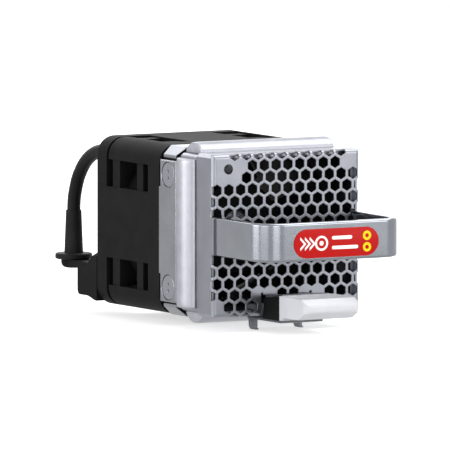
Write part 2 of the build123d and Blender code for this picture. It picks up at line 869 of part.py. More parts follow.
def make_impeller():
    with BuildPart(front_view(blade_middle)) as impeller:
        with BuildSketch(front_view(hub_rear)):
            Circle(hub_radius)
        extrude(amount=hub_rear - hub_front)
        fillet(impeller.edges().group_by(Axis.Y)[-1], radius=hub_round)
        blade = make_blade()
        with PolarLocations(0, blade_count):
            add(blade)
        with BuildSketch(front_view(yoke_rear)):
            Circle(hub_inner)
        extrude(amount=yoke_rear - hub_front, mode=Mode.SUBTRACT)
        with BuildSketch(front_view(shaft_seat)):
            Circle(shaft_radius)
        extrude(amount=shaft_seat - yoke_rear, mode=Mode.SUBTRACT)
    return save(impeller.part, "impeller")


rear_screw_places = ((0.5, 0.5), (0.5, -0.5), (-0.5, -0.5))


def rear_screw_centres():
    return [(fan_hole_spacing * x, fan_hole_spacing * z) for x, z in rear_screw_places]


def leg_centres():
    """Centre, width and height of the two legs that hold the connector in the rear cover."""
    edge = body_size / 2 - leg_from_edge - leg_thickness / 2
    return (((-leg_centre, -edge), leg_width, leg_thickness), ((-edge, -leg_centre), leg_thickness, leg_width))


def make_rear_cover():
    grommet_hole = lead_diameter / 2 + lead_clearance + grommet_wall
    with BuildPart() as rear_cover:
        with BuildSketch(front_view(cover_back)):
            RectangleRounded(body_size, body_size, body_corner)
        extrude(amount=cover_back - frame_rear)
        fillet(rear_cover.edges().group_by(Axis.Y)[-1], radius=back_edge_round)
        with BuildSketch(front_view(cover_back)):
            Circle(fan_bore / 2)
        extrude(amount=cover_back - frame_rear, mode=Mode.SUBTRACT)
        mouth = rear_cover.edges().filter_by(GeomType.CIRCLE).group_by(Axis.Y)[-1].sort_by(SortBy.RADIUS)[-1]
        fillet(mouth, radius=bore_round)
        with BuildSketch(front_view(cover_back)):
            with Locations(rear_screw_centres()):
                Circle(rear_head_radius + screw_clearance)
        extrude(amount=rear_head_seat, mode=Mode.SUBTRACT)
        with BuildSketch(front_view(cover_back)):
            with Locations(rear_screw_centres()):
                Circle(rear_shank_radius + screw_clearance)
            with Locations((lead_x, lead_z)):
                Circle(grommet_hole)
        extrude(amount=cover_back - frame_rear, mode=Mode.SUBTRACT)
        for centre, width, height in leg_centres():
            with BuildSketch(front_view(cover_back)):
                with Locations(centre):
                    Rectangle(width + 2 * leg_clearance, height + 2 * leg_clearance)
            extrude(amount=leg_length + leg_clearance, mode=Mode.SUBTRACT)
    return save(rear_cover.part, "rear_cover")


def make_rear_screws():
    seat = cover_back - rear_head_seat
    with BuildPart() as rear_screws:
        with BuildSketch(front_view(seat)):
            with Locations(rear_screw_centres()):
                Circle(rear_shank_radius)
        extrude(amount=seat - rear_screw_front)
        with BuildSketch(front_view(seat + rear_head_height)):
            with Locations(rear_screw_centres()):
                Circle(rear_head_radius)
        extrude(amount=rear_head_height)
        with BuildSketch(front_view(seat + rear_head_height)):
            with Locations(rear_screw_centres()):
                RegularPolygon(hex_socket / 2, 6, major_radius=False)
        extrude(amount=hex_socket_depth, mode=Mode.SUBTRACT)
    return save(rear_screws.part, "rear_screws")


def make_connector_housing():
    left = -body_size / 2
    with BuildPart() as connector_housing:
        with BuildSketch(side_view(left)) as outline:
            with BuildLine():
                Polyline(
                    (cover_back, plug_top),
                    (plug_rear, plug_top),
                    (plug_rear, plug_bottom),
                    (plug_foot_slope, plug_bottom),
                    (plug_foot_rear, plug_foot),
                    (cover_back, plug_foot),
                    close=True,
                )
            make_face()
            fillet(corner_at(outline, plug_foot_slope, plug_bottom), radius=plug_foot_bend)
            fillet(corner_at(outline, plug_foot_rear, plug_foot), radius=plug_foot_bend)
        extrude(amount=plug_width)
        long_edges = connector_housing.edges().filter_by(Axis.X).group_by(Axis.Y)[-1]
        fillet(long_edges.sort_by(Axis.Z)[0], radius=plug_round)
        # Gusset up the rear face, beside the air inlet
        with BuildSketch(side_view(left)):
            with BuildLine():
                Polyline(
                    (cover_back, plug_top),
                    (cover_back, gusset_top),
                    (gusset_flat, gusset_top),
                    (gusset_foot, plug_top),
                    close=True,
                )
            make_face()
        extrude(amount=gusset_width)
        crown = connector_housing.edges().filter_by(Axis.Y).group_by(Axis.Z)[-1].sort_by(Axis.X)[0]
        chamfer(crown, length=gusset_chamfer)
        # Tongue and cup that hold the strain relief
        cup_top = boot_foot - flange_height
        with BuildSketch(top_view(cup_top)):
            with Locations((lead_x, (tongue_front + boot_y) / 2)):
                Rectangle(tongue_width, boot_y - tongue_front)
        extrude(amount=-tongue_thickness)
        cup_foot = cup_top - cup_height
        with BuildSketch(side_view(lead_x)):
            with BuildLine():
                wall = Polyline((boot_y, cup_foot), (boot_y, cup_top), (boot_y + cup_radius, cup_top))
                side = Line(wall @ 1, (boot_y + cup_radius, cup_foot + cup_round))
                turn = RadiusArc(side @ 1, (boot_y + cup_radius - cup_round, cup_foot), cup_round)
                Line(turn @ 1, wall @ 0)
            make_face()
        revolve(axis=Axis((lead_x, face_y + boot_y, axis_z), (0, 0, 1)))
        with BuildSketch(top_view(cup_top)):
            with Locations((lead_x, boot_y)):
                Circle(plug_in_radius)
        extrude(amount=-plug_in_depth, mode=Mode.SUBTRACT)
        # Legs that snap into the rear cover
        for centre, width, height in leg_centres():
            with BuildSketch(front_view(cover_back)):
                with Locations(centre):
                    Rectangle(width, height)
            extrude(amount=leg_length)
        # Socket at the back
        with BuildSketch(front_view(plug_rear)):
            with Locations((socket_x, socket_z)):
                Rectangle(socket_width, socket_height)
        extrude(amount=socket_depth, mode=Mode.SUBTRACT)
        with BuildSketch(front_view(plug_rear)):
            with Locations((socket_x, socket_z)):
                with GridLocations(contact_pitch, contact_row_pitch, contact_columns, 2):
                    Rectangle(contact_size, contact_size)
        extrude(amount=contact_set_back + contact_length, mode=Mode.SUBTRACT)
    return save(connector_housing.part, "connector_housing")


def make_connector_contacts():
    rear = plug_rear - contact_set_back
    with BuildPart() as connector_contacts:
        with BuildSketch(front_view(rear)):
            with Locations((socket_x, socket_z)):
                with GridLocations(contact_pitch, contact_row_pitch, contact_columns, 2):
                    Rectangle(contact_size, contact_size)
        extrude(amount=contact_length)
    return save(connector_contacts.part, "connector_contacts")


def make_cable_grommet():
    inner = lead_diameter / 2 + lead_clearance
    with BuildPart() as cable_grommet:
        with BuildSketch(front_view(cover_back)):
            with Locations((lead_x, lead_z)):
                Circle(inner + grommet_wall)
                Circle(inner, mode=Mode.SUBTRACT)
        extrude(amount=grommet_length)
    return save(cable_grommet.part, "cable_grommet")


# Route of the lead, as depth behind the front face and height over the fan axis
lead_route = [
    (cover_back - grommet_length, lead_z),
    (cover_back + 5.2, lead_z - 0.05),
    (boot_y - 6.85, lead_z - 2.6),
    (boot_y - 2.45, boot_top + 8.6),
    (boot_y - 0.65, boot_top + 4.4),
    (boot_y, boot_top + 1.6),
    (boot_y, boot_top - boot_grip),
]


def arc_radii(points):
    """Largest tangent arc at each corner: 0.45 of the shorter run over the tangent of half the turn."""
    radii = []
    for before, corner, after in zip(points, points[1:], points[2:]):
        first = Vector(*corner) - Vector(*before)
        second = Vector(*after) - Vector(*corner)
        turn = first.get_angle(second)
        radii.append(0.45 * min(first.length, second.length) / tan(radians(turn / 2)))
    return radii


def make_cable():
    radii = arc_radii(lead_route)
    print("lead radii", [round(radius, 1) for radius in radii])
    with BuildPart() as cable:
        with BuildLine(side_view(lead_x)) as path:
            FilletPolyline(*lead_route, radius=radii)
        with BuildSketch(front_view(lead_route[0][0])):
            with Locations((lead_x, lead_z)):
                Circle(lead_diameter / 2)
        sweep()
    length = path.wire().length
    print("lead length", round(length, 2), "volume share", cable.part.volume / (length * pi * lead_diameter**2 / 4))
    return save(cable.part, "cable")


def make_cable_boot():
    foot = boot_foot - flange_height
    with BuildPart() as cable_boot:
        with BuildSketch(side_view(lead_x)):
            with BuildLine():
                Polyline(
                    (boot_y, boot_top),
                    (boot_y + boot_top_radius, boot_top),
                    (boot_y + boot_foot_radius, boot_foot),
                    (boot_y + flange_radius, boot_foot),
                    (boot_y + flange_radius, foot),
                    (boot_y + plug_in_radius, foot),
                    (boot_y + plug_in_radius, foot - plug_in_depth),
                    (boot_y, foot - plug_in_depth),
                    close=True,
                )
            make_face()
        axis = Axis((lead_x, face_y + boot_y, axis_z), (0, 0, 1))
        revolve(axis=axis)
        rim = cable_boot.edges().filter_by(GeomType.CIRCLE).sort_by(SortBy.RADIUS)[-2:]
        fillet(rim, radius=flange_round)
        with BuildSketch(top_view(boot_top)):
            with Locations((lead_x, boot_y)):
                Circle(lead_diameter / 2 + lead_clearance)
        extrude(amount=-boot_grip, mode=Mode.SUBTRACT)
    return save(cable_boot.part, "cable_boot")


def make_handle():
    leg_x = tray_width / 2 - handle_thickness / 2
    bar_y = -handle_reach + handle_thickness / 2
    with BuildPart() as handle:
        with BuildLine(top_view(cover_rise)):
            FilletPolyline(
                (-leg_x, handle_tail),
                (-leg_x, bar_y),
                (leg_x, bar_y),
                (leg_x, handle_tail),
                radius=handle_bend - handle_thickness / 2,
            )
        with BuildSketch(front_view(handle_tail)):
            with Locations((-leg_x, cover_rise)):
                RectangleRounded(handle_thickness, handle_height, handle_edge)
        sweep()
    return save(handle.part, "handle")


def make_latch_spring():
    low = latch_plate_z
    top = latch_plate_z + latch_sheet
    leaf_top = leaf_bottom + latch_sheet
    half = latch_sheet / 2
    inner_bend = latch_bend - latch_sheet
    wall = latch_front + latch_sheet
    with BuildPart() as latch_spring:
        with BuildSketch(side_view(-latch_width / 2)) as strip:
            with BuildLine():
                Polyline(
                    (hinge_y, leaf_top),
                    (jog_rear, leaf_top),
                    (jog_front, top),
                    (wall, top),
                    (wall, latch_lip_front - latch_sheet),
                    (latch_lip_end, latch_lip_rear - latch_sheet),
                    (latch_lip_end, latch_lip_rear),
                    (latch_front, latch_lip_front),
                    (latch_front, low),
                    (jog_front + half, low),
                    (jog_rear + half, leaf_bottom),
                    (hinge_y, leaf_bottom),
                )
                ThreePointArc((hinge_y, leaf_bottom), (hinge_y + half, leaf_bottom + half), (hinge_y, leaf_top))
            make_face()
            for y, z, radius in (
                (latch_front, latch_lip_front, latch_bend),
                (wall, latch_lip_front - latch_sheet, inner_bend),
                (latch_front, low, latch_bend),
                (wall, top, inner_bend),
            ):
                fillet(corner_at(strip, y, z), radius=radius)
        extrude(amount=latch_width)
        # The leaf is narrower than the plate
        leaf_length = hinge_y + latch_sheet - leaf_shoulder
        with BuildSketch(top_view(leaf_bottom - latch_sheet)):
            with Locations((0, leaf_shoulder + leaf_length / 2)):
                Rectangle(latch_width + 2 * cut_past, leaf_length)
                Rectangle(leaf_width, leaf_length, mode=Mode.SUBTRACT)
        extrude(amount=3 * latch_sheet, mode=Mode.SUBTRACT)
        # Cut corner at the right front of the plate
        side = latch_width / 2
        with BuildSketch(top_view(low + latch_corner_height)):
            with BuildLine():
                Polyline(
                    (side - latch_corner_width, latch_front),
                    (side, latch_front + latch_corner_length),
                    (side, latch_front),
                    close=True,
                )
            make_face()
        extrude(amount=-latch_corner_height, mode=Mode.SUBTRACT)
        # Two hooks bent down from the edges of the plate
        tip = -body_size / 2 - hook_drop
        for x in (-hook_x, hook_x):
            with BuildSketch(side_view(x - hook_thickness / 2)) as hook:
                with BuildLine():
                    Polyline(
                        (hook_rear, tip),
                        (hook_rear, top),
                        (hook_front, top),
                        (hook_front, tip + hook_nose_height),
                        (hook_front - hook_nose, tip + hook_nose_height),
                        (hook_front - hook_nose, tip),
                        close=True,
                    )
                make_face()
                fillet(corner_at(hook, hook_rear, tip), radius=hook_round)
            extrude(amount=hook_thickness)
    return save(latch_spring.part, "latch_spring")


def make_leaf_root():
    start = hinge_y + latch_sheet / 2 + hinge_gap
    with BuildPart() as leaf_root:
        with BuildSketch(top_view(leaf_bottom)):
            with Locations((0, (start + leaf_root_rear) / 2)):
                Rectangle(leaf_width, leaf_root_rear - start)
            with Locations((0, rivet_y)):
                with GridLocations(2 * rivet_x, 0, 2, 1):
                    Circle(rivet_shank_radius, mode=Mode.SUBTRACT)
        extrude(amount=latch_sheet)
    return save(leaf_root.part, "leaf_root")


def make_latch_rivets():
    top = leaf_bottom + latch_sheet
    with BuildPart() as latch_rivets:
        with BuildSketch(top_view(top)):
            with Locations((0, rivet_y)):
                with GridLocations(2 * rivet_x, 0, 2, 1):
                    Circle(rivet_shank_radius)
        extrude(amount=-latch_sheet - rivet_shank_length)
        with BuildSketch(top_view(top)):
            with Locations((0, rivet_y)):
                with GridLocations(2 * rivet_x, 0, 2, 1):
                    Circle(rivet_head_radius)
        extrude(amount=rivet_head_height)
        fillet(latch_rivets.edges().group_by(Axis.Z)[-1], radius=rivet_head_round)
    return save(latch_rivets.part, "latch_rivets")


def make_latch_block():
    foot = latch_plate_z + latch_sheet
    front = latch_front + latch_sheet
    roof = latch_lip_rear - latch_sheet
    with BuildPart() as latch_block:
        with BuildSketch(side_view(-latch_width / 2)) as outline:
            with BuildLine():
                Polyline(
                    (front, foot),
                    (front, latch_lip_front - latch_sheet),
                    (latch_lip_end, roof),
                    (block_roof_rear, roof),
                    (block_rear, block_lean_foot),
                    (block_rear, foot),
                    close=True,
                )
            make_face()
            fillet(corner_at(outline, front, foot), radius=block_round)
            fillet(corner_at(outline, front, latch_lip_front - latch_sheet), radius=block_round)
            fillet(corner_at(outline, block_roof_rear, roof), radius=block_round)
        extrude(amount=latch_width)
    return save(latch_block.part, "latch_block")


def make_release_button():
    length = button_rear - button_front
    with BuildPart() as release_button:
        with BuildSketch(side_view(-button_width / 2)) as outline:
            with BuildLine():
                Polyline(
                    (button_rear, button_top),
                    (button_top_break, button_top),
                    (button_front, button_strip_top),
                    (button_front, button_strip_bottom),
                    (button_bottom_break, button_bottom),
                    (button_rear - button_flange - button_flange_slope, button_bottom),
                    (button_rear - button_flange, button_flange_bottom),
                    (button_rear, button_flange_bottom),
                    close=True,
                )
            make_face()
            for y, z in (
                (button_top_break, button_top),
                (button_front, button_strip_top),
                (button_front, button_strip_bottom),
                (button_bottom_break, button_bottom),
            ):
                fillet(corner_at(outline, y, z), radius=button_break_round)
        extrude(amount=button_width)
        # Rounded ends of the front strip
        with BuildSketch(top_view(button_top)):
            with Locations((0, button_rear)):
                RectangleRounded(button_width, 2 * length, button_corner)
        extrude(amount=button_flange_bottom - button_top, mode=Mode.INTERSECT)
    return save(release_button.part, "release_button")


def make_status_light():
    with BuildPart() as status_light:
        with BuildSketch(front_view(light_length)):
            with Locations((led_x, led_z + cover_rise)):
                Circle(light_radius)
        extrude(amount=light_length + light_proud)
        fillet(status_light.edges().group_by(Axis.Y)[0], radius=light_round)
        with BuildSketch(front_view(light_length + light_flange_height)):
            with Locations((led_x, led_z + cover_rise)):
                Circle(light_flange_radius)
        extrude(amount=light_flange_height)
    return save(status_light.part, "status_light")


def make_light_holder():
    left = -tray_width / 2 + tray_sheet
    top = cover_rise + tray_height / 2 - tray_sheet
    with BuildPart() as light_holder:
        with BuildSketch(front_view(cover_sheet + holder_depth)) as outline:
            with Locations((left + holder_size / 2, top - holder_size / 2)):
                Rectangle(holder_size, holder_size)
            chamfer(corner_at(outline, left, top), length=holder_chamfer)
        extrude(amount=holder_depth)
        with BuildSketch(front_view(cover_sheet + holder_depth)):
            with Locations((led_x, led_z + cover_rise)):
                Circle(light_flange_radius)
        extrude(amount=cover_sheet + holder_depth - light_length, mode=Mode.SUBTRACT)
        with BuildSketch(front_view(light_length)):
            with Locations((led_x, led_z + cover_rise)):
                Circle(light_radius)
        extrude(amount=light_length, mode=Mode.SUBTRACT)
    return save(light_holder.part, "light_holder")


make_front_cover()
make_inner_tray()
make_gaskets()
make_adapter_frame()
make_side_plate("side_plate_left", -1)
make_side_plate("side_plate_right", 1)
make_band("band_top", 1)
make_band("band_bottom", -1)
make_side_screws()
make_fan_frame()
make_motor_board()
make_stator_core()
make_stator_coils()
make_bearing("bearing_front", front_bearing_y)
make_bearing("bearing_rear", rear_bearing_y)
make_shaft()
make_shaft_clip()
make_magnet_ring()
make_rotor_yoke()
make_impeller()
make_rear_cover()
make_rear_screws()
make_connector_housing()
make_connector_contacts()
make_cable_grommet()
make_cable()
make_cable_boot()
make_handle()
make_latch_spring()
make_leaf_root()
make_latch_rivets()
make_latch_block()
make_release_button()
make_status_light()
make_light_holder()
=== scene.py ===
# Hot-swap fan tray for a network switch: honeycomb steel front, pull handle, squeeze latch,
# black 40 mm fan and a short plug-in lead. Metres; the front faces -Y and +Z is up.

from math import cos, pi, radians, sin

import bmesh
import bpy
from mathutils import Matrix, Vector, noise


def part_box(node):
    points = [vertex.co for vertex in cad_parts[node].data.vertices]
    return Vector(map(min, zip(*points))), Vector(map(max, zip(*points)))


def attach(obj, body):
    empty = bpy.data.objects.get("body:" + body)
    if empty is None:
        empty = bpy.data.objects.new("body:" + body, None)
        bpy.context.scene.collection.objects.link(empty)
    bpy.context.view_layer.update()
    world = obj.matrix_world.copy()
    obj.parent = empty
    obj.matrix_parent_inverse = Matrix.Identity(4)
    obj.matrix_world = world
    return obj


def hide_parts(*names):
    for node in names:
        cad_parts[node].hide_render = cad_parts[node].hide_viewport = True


MM = 0.001

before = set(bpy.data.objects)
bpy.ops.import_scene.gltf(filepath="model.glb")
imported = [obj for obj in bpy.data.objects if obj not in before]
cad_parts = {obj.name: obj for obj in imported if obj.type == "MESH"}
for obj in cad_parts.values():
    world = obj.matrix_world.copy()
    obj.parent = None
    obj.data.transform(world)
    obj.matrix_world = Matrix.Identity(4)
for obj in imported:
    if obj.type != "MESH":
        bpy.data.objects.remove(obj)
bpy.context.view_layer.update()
tray_middle = (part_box("inner_tray")[0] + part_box("inner_tray")[1]) / 2


# Helpers for materials

def colour(code):
    """Linear colour from an sRGB hex value."""
    channels = [int(code[place:place + 2], 16) / 255 for place in (1, 3, 5)]
    linear = [c / 12.92 if c <= 0.04045 else ((c + 0.055) / 1.055) ** 2.4 for c in channels]
    return (*linear, 1)


def add_node(tree, kind, inputs=None, **settings):
    """Add a node, set its properties, and set or link its inputs by name or number."""
    node = tree.nodes.new(kind)
    for key, value in settings.items():
        setattr(node, key, value)
    for key, value in (inputs or {}).items():
        if isinstance(value, bpy.types.NodeSocket):
            tree.links.new(value, node.inputs[key])
        else:
            node.inputs[key].default_value = value
    return node


def combine(tree, operation, first, second):
    """Work out one value from two, such as their product or the greater of them."""
    return add_node(tree, "ShaderNodeMath", {0: first, 1: second}, operation=operation).outputs[0]


def new_material(name, finish):
    """A material with one Principled shader; finish gives its plain inputs."""
    material = bpy.data.materials.new(name)
    material.use_nodes = True
    tree = material.node_tree
    tree.nodes.clear()
    shader = add_node(tree, "ShaderNodeBsdfPrincipled", finish)
    add_node(tree, "ShaderNodeOutputMaterial", {"Surface": shader.outputs["BSDF"]})
    place = add_node(tree, "ShaderNodeTexCoord").outputs["Object"]
    return material, tree, shader, place


def mottle(tree, place, patch, stretch=(1, 1, 1), detail=2):
    """Soft random pattern with patches of a real size, drawn out along an axis by stretch."""
    mapped = add_node(tree, "ShaderNodeMapping", {"Vector": place, "Scale": stretch})
    return add_node(
        tree, "ShaderNodeTexNoise",
        {"Vector": mapped.outputs["Vector"], "Scale": 1 / patch, "Detail": detail},
    ).outputs["Fac"]


def bands(tree, place, direction, period, **waver):
    """Even bands of a real width. At a scale of 1 the wave repeats every pi / 10."""
    inputs = {"Vector": place, "Scale": pi / (10 * period), **waver}
    return add_node(tree, "ShaderNodeTexWave", inputs, bands_direction=direction).outputs["Fac"]


def widen(tree, factor, spread, low, high):
    """Take a pattern that keeps within spread of a half, and make it run from low to high."""
    return add_node(
        tree, "ShaderNodeMapRange",
        {
            "Value": factor, "From Min": 0.5 - spread, "From Max": 0.5 + spread,
            "To Min": low, "To Max": high,
        },
    ).outputs["Result"]


def tint(tree, shader, factor, low, high, spread=0.2):
    """Base colour that wanders between two colours with a pattern."""
    mix = add_node(
        tree, "ShaderNodeMix",
        {"Factor": widen(tree, factor, spread, 0, 1), "A": colour(low), "B": colour(high)},
        data_type="RGBA",
    )
    tree.links.new(mix.outputs["Result"], shader.inputs["Base Color"])


def vary_roughness(tree, shader, factor, low, high, spread=0.2):
    """Roughness that wanders between two values with a pattern."""
    tree.links.new(widen(tree, factor, spread, low, high), shader.inputs["Roughness"])


def relief(tree, shader, height, depth, edge=0):
    """Bump of a real depth, over edges that are eased by a real radius."""
    bump = add_node(
        tree, "ShaderNodeBump", {"Height": height, "Distance": depth, "Strength": 1},
    )
    if edge:
        eased = add_node(tree, "ShaderNodeBevel", {"Radius": edge}, samples=6)
        tree.links.new(eased.outputs["Normal"], bump.inputs["Normal"])
    tree.links.new(bump.outputs["Normal"], shader.inputs["Normal"])


# Materials

def zinc_plated_steel():
    """Electro-galvanised sheet, passivated clear: a satin blue-grey with a faint rolling grain."""
    material, tree, shader, place = new_material("zinc_plated_steel", {"Metallic": 1})
    grain = mottle(tree, place, 0.5 * MM, stretch=(1, 1, 0.15), detail=4)
    clouds = mottle(tree, place, 7 * MM)
    tint(tree, shader, clouds, "#7f8187", "#898b92")
    vary_roughness(tree, shader, grain, 0.28, 0.36)
    relief(tree, shader, grain, 0.004 * MM, edge=0.25 * MM)
    return material


def nickel_plated_steel():
    """Stamped plate with matt nickel plating: smoother than the zinc, with bright bevelled edges."""
    material, tree, shader, place = new_material("nickel_plated_steel", {"Metallic": 1})
    grain = mottle(tree, place, 0.4 * MM, stretch=(1, 1, 0.12), detail=3)
    clouds = mottle(tree, place, 6 * MM)
    tint(tree, shader, clouds, "#808187", "#8b8c93")
    vary_roughness(tree, shader, grain, 0.24, 0.32)
    relief(tree, shader, grain, 0.003 * MM, edge=0.4 * MM)
    return material


def gasket_cloth():
    """Nickel-coated ripstop cloth, glued over a foam core: silvery, with a fine plain weave."""
    material, tree, shader, place = new_material("nickel_coated_cloth", {"Metallic": 0.9})
    thread = 0.28 * MM
    along_x, along_y, along_z = [
        bands(tree, place, direction, thread, Distortion=0.6, Detail=1) for direction in ("X", "Y", "Z")
    ]
    weave = combine(tree, "MAXIMUM", combine(tree, "MULTIPLY", along_x, along_y), along_z)
    clouds = mottle(tree, place, 3 * MM)
    tint(tree, shader, clouds, "#9b9ca3", "#a5a6ad")
    vary_roughness(tree, shader, clouds, 0.38, 0.46)
    relief(tree, shader, weave, 0.01 * MM)
    return material


def moulded_black_plastic():
    """Glass-filled PBT, spark-textured mould: near black, a soft broad shine and a fine grain."""
    material, tree, shader, place = new_material(
        "moulded_black_pbt", {"IOR": 1.5, "Specular IOR Level": 0.06},
    )
    grain = mottle(tree, place, 0.18 * MM, detail=3)
    clouds = mottle(tree, place, 5 * MM)
    tint(tree, shader, clouds, "#0f0f10", "#151516")
    vary_roughness(tree, shader, grain, 0.55, 0.7)
    relief(tree, shader, grain, 0.008 * MM, edge=0.18 * MM)
    return material


def turned_screw_steel():
    """Nickel-plated turned steel for screws, rivets, shaft and bearings: fine grain, bright rims."""
    material, tree, shader, place = new_material("turned_screw_steel", {"Metallic": 1})
    grain = mottle(tree, place, 0.3 * MM, detail=3)
    tint(tree, shader, grain, "#85868d", "#94959c")
    vary_roughness(tree, shader, grain, 0.22, 0.3)
    relief(tree, shader, grain, 0.003 * MM, edge=0.3 * MM)
    return material


def black_oxide_steel():
    """Black oxide on socket screws: dark brown-black metal with an oily sheen."""
    material, tree, shader, place = new_material("black_oxide_steel", {"Metallic": 0.8})
    grain = mottle(tree, place, 0.3 * MM)
    tint(tree, shader, grain, "#232224", "#302f31")
    vary_roughness(tree, shader, grain, 0.34, 0.48)
    relief(tree, shader, grain, 0.004 * MM, edge=0.12 * MM)
    return material


def circuit_board():
    """Glass-epoxy board under green solder mask: glossy, with faint clouds from the glass."""
    material, tree, shader, place = new_material("solder_masked_board", {"IOR": 1.5})
    grain = mottle(tree, place, 0.4 * MM)
    tint(tree, shader, grain, "#1c4a30", "#23583a")
    vary_roughness(tree, shader, grain, 0.25, 0.35)
    relief(tree, shader, grain, 0.004 * MM)
    return material


def laminated_core():
    """Stacked silicon-steel sheets: thin dark lines run round the stack."""
    material, tree, shader, place = new_material("laminated_core_steel", {"Metallic": 0.9})
    sheets = bands(tree, place, "Y", 0.5 * MM)
    tint(tree, shader, sheets, "#5d5f63", "#85878b", spread=0.5)
    vary_roughness(tree, shader, sheets, 0.35, 0.5, spread=0.5)
    relief(tree, shader, sheets, 0.02 * MM)
    return material


def enamelled_copper():
    """Enamelled magnet wire, wound close: red-brown copper in fine parallel turns, with painted shade
    darkening the colour in the grooves between turns.
    """
    material, tree, shader, place = new_material("enamelled_copper", {"Metallic": 0.9})
    turns_and_groove_shade = bands(tree, place, "Y", 0.25 * MM)
    # Painted shade: the base colour runs darker into the grooves between turns and back to bright copper
    # on their crests.
    tint(tree, shader, turns_and_groove_shade, "#8a4a26", "#c97a46", spread=0.5)
    vary_roughness(tree, shader, turns_and_groove_shade, 0.25, 0.4, spread=0.5)
    relief(tree, shader, turns_and_groove_shade, 0.04 * MM)
    return material


def contact_brass():
    """Tin-flashed brass contacts: pale gold with a soft shine."""
    material, tree, shader, place = new_material("flashed_brass", {"Metallic": 1})
    grain = mottle(tree, place, 0.3 * MM)
    tint(tree, shader, grain, "#c9b27a", "#d8c592")
    vary_roughness(tree, shader, grain, 0.22, 0.32)
    relief(tree, shader, grain, 0.002 * MM)
    return material


def bonded_magnet():
    """Bonded ferrite ring: dull charcoal with pale specks of powder."""
    material, tree, shader, place = new_material("bonded_ferrite", {"IOR": 1.5})
    specks = mottle(tree, place, 0.15 * MM, detail=3)
    tint(tree, shader, specks, "#2a2a2c", "#48484a")
    vary_roughness(tree, shader, specks, 0.55, 0.7)
    relief(tree, shader, specks, 0.006 * MM)
    return material


def black_rubber():
    """Moulded TPE: a matt black with faint grey clouds."""
    material, tree, shader, place = new_material(
        "moulded_black_tpe", {"IOR": 1.48, "Specular IOR Level": 0.12},
    )
    grain = mottle(tree, place, 0.25 * MM, detail=3)
    clouds = mottle(tree, place, 4 * MM)
    tint(tree, shader, clouds, "#131314", "#1b1b1c")
    vary_roughness(tree, shader, grain, 0.5, 0.64)
    relief(tree, shader, grain, 0.008 * MM, edge=0.12 * MM)
    return material


def lead_jacket():
    """Extruded PVC jacket: black and fairly smooth, with a faint grain."""
    material, tree, shader, place = new_material(
        "extruded_black_pvc", {"IOR": 1.5, "Specular IOR Level": 0.1},
    )
    grain = mottle(tree, place, 0.3 * MM, detail=3)
    clouds = mottle(tree, place, 5 * MM)
    tint(tree, shader, clouds, "#101011", "#171718")
    vary_roughness(tree, shader, grain, 0.38, 0.5)
    relief(tree, shader, grain, 0.006 * MM)
    return material


def polished_handle():
    """Bright nickel plating over a polished bar: near mirror, brushed very finely along the bar."""
    material, tree, shader, place = new_material("bright_nickel_plate", {"Metallic": 1})
    brushing = mottle(tree, place, 0.25 * MM, stretch=(0.1, 0.1, 1), detail=3)
    clouds = mottle(tree, place, 8 * MM)
    tint(tree, shader, clouds, "#83868c", "#8c8f95")
    vary_roughness(tree, shader, brushing, 0.16, 0.22)
    relief(tree, shader, brushing, 0.0005 * MM)
    return material


def tempered_spring_steel():
    """Tempered stainless strip: grey with a cool cast and a fine rolled grain."""
    material, tree, shader, place = new_material("tempered_spring_steel", {"Metallic": 1})
    grain = mottle(tree, place, 0.3 * MM, stretch=(1, 0.12, 1), detail=3)
    tint(tree, shader, grain, "#5a5b5f", "#696a6f")
    vary_roughness(tree, shader, grain, 0.26, 0.36)
    relief(tree, shader, grain, 0.003 * MM, edge=0.12 * MM)
    return material


def white_button_plastic():
    """Moulded white polycarbonate: slightly translucent, satin, with soft corners."""
    material, tree, shader, place = new_material(
        "moulded_white_polycarbonate",
        {
            "IOR": 1.58, "Subsurface Weight": 0.25, "Subsurface Radius": (1, 1, 1),
            "Subsurface Scale": 0.8 * MM,
        },
    )
    grain = mottle(tree, place, 0.25 * MM, detail=3)
    clouds = mottle(tree, place, 5 * MM)
    tint(tree, shader, clouds, "#c3c4ca", "#cbccd1")
    vary_roughness(tree, shader, grain, 0.3, 0.42)
    relief(tree, shader, grain, 0.004 * MM, edge=0.45 * MM)
    return material


def smoked_lens():
    """Smoked acrylic light pipe: dark until lit, and polished."""
    material, tree, shader, place = new_material(
        "smoked_acrylic", {"IOR": 1.49, "Specular IOR Level": 0.2},
    )
    depth = mottle(tree, place, 0.6 * MM)
    tint(tree, shader, depth, "#1c1f22", "#282b30")
    vary_roughness(tree, shader, depth, 0.12, 0.2)
    relief(tree, shader, depth, 0.002 * MM)
    return material


def grey_plastic():
    """Moulded ABS light holder: dark grey with a fine mould texture."""
    material, tree, shader, place = new_material("moulded_grey_abs", {"IOR": 1.52})
    grain = mottle(tree, place, 0.2 * MM, detail=3)
    tint(tree, shader, grain, "#3c3d40", "#4a4b4e")
    vary_roughness(tree, shader, grain, 0.45, 0.58)
    relief(tree, shader, grain, 0.006 * MM, edge=0.12 * MM)
    return material


def printed_film(name, low, high):
    """Screen-printed polyester label film: flat ink between two near shades, under a thin gloss."""
    material, tree, shader, place = new_material(
        name,
        {"IOR": 1.5, "Specular IOR Level": 0.08, "Coat Weight": 0.05, "Coat Roughness": 0.2},
    )
    ink = mottle(tree, place, 0.35 * MM, detail=3)
    tint(tree, shader, ink, low, high)
    vary_roughness(tree, shader, ink, 0.3, 0.4)
    relief(tree, shader, ink, 0.003 * MM)
    return material


